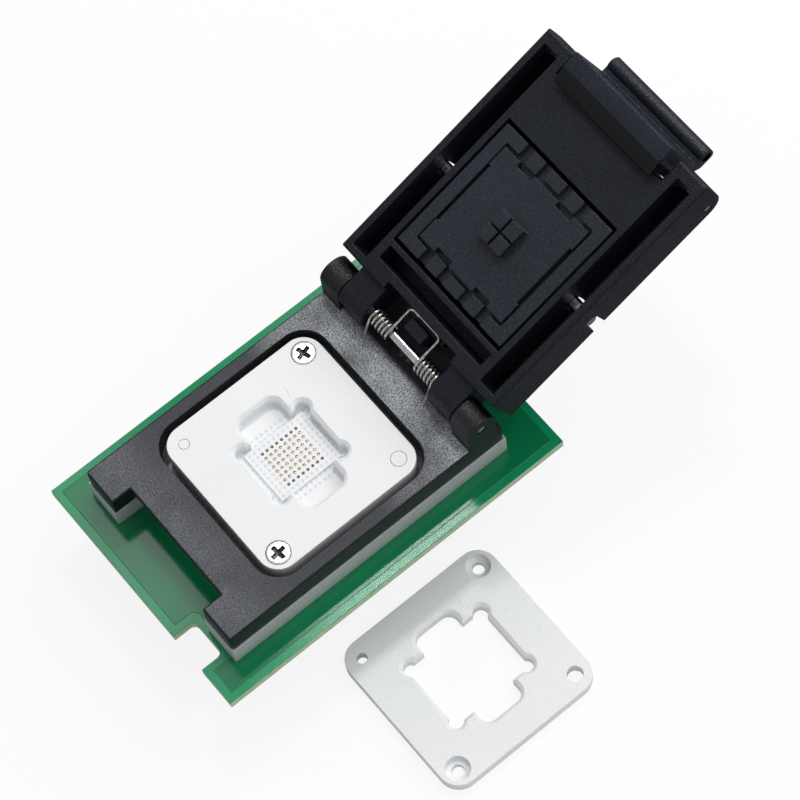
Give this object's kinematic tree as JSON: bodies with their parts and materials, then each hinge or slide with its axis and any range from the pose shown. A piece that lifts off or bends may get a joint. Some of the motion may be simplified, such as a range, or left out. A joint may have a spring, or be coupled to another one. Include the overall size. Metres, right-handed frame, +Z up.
{
  "type": "BGA socket adapter",
  "caption": "Clamshell test socket for a ball-grid chip on a plug-in board with two header rows, lid open, with a spare chip guide beside it.",
  "frame": {"origin": "centre of the header pin pattern at the underside of the header strips", "axes": "+Z up out of the chip seat, +Y towards the lid's hinge, -Y towards the latch side, +X towards the spare guide"},
  "size_m": [0.0643, 0.0909, 0.0456],
  "materials": {
    "fr4_green": "solder mask over glass epoxy",
    "moulded_black": "grained moulding",
    "light_grey_plate": "translucent moulding",
    "white_guide": "machined white plastic",
    "spring_steel": "drawn wire and ground pins",
    "screw_steel": "nickel plated",
    "gold_contact": "gold plated"
  },
  "bodies": {
    "adapter": {"adapter_board": "fr4_green", "header_strip_left": "moulded_black", "header_strip_right": "moulded_black", "header_pins_left": "gold_contact", "header_pins_right": "gold_contact", "base_plate": "light_grey_plate", "socket_base": "moulded_black", "board_screws": "screw_steel", "pin_retainer": "moulded_black", "guide_screws": "screw_steel", "nest_springs": "spring_steel", "hinge_pin": "spring_steel", "hinge_spring": "spring_steel"},
    "nest": {"contact_block": "white_guide", "guide_plate": "white_guide"},
    "contacts": {"contact_pins": "gold_contact"},
    "lid": {"lid_frame": "moulded_black", "latch_pin": "spring_steel", "latch_spring": "spring_steel", "presser_springs": "spring_steel"},
    "presser": {"presser_carrier": "moulded_black", "presser_plate": "moulded_black", "presser_pin": "spring_steel"},
    "latch": {"latch": "moulded_black"},
    "spare_guide": {"spare_guide_plate": "white_guide"}
  },
  "joints": [
    {"name": "lid_hinge", "type": "hinge", "parent": "adapter", "child": "lid", "pos_m": [0, 0.01705, 0.0154], "axis": [1, 0, 0], "range_deg": [0, 157.8], "stiffness_Nm_per_rad": 0.003, "springref_deg": -28.65, "deforming": ["hinge_spring"]},
    {"name": "latch_pivot", "type": "hinge", "parent": "lid", "child": "latch", "pos_m": [0, 0.05532, 0.02854], "axis": [-1, 0, 0], "range_deg": [0, 12], "stiffness_Nm_per_rad": 0.004, "springref_deg": -17.19, "deforming": ["latch_spring"]},
    {"name": "presser_float", "type": "slide", "parent": "lid", "child": "presser", "axis": [0, 0.3778, -0.9259], "range_m": [0, 0.0008], "stiffness_N_per_m": 500, "springref_m": -0.001, "deforming": ["presser_springs"]},
    {"name": "nest_float", "type": "slide", "parent": "adapter", "child": "nest", "axis": [0, 0, -1], "range_m": [0, 0.0005], "stiffness_N_per_m": 400, "springref_m": -0.001, "deforming": ["nest_springs"]},
    {"name": "contact_press", "type": "slide", "parent": "adapter", "child": "contacts", "axis": [0, 0, -1], "range_m": [0, 0.0004], "stiffness_N_per_m": 400, "springref_m": -0.0005},
    {"name": "spare_guide_lift", "type": "slide", "parent": "adapter", "child": "spare_guide", "axis": [0, 0, 1], "range_m": [0, 0.01]}
  ]
}
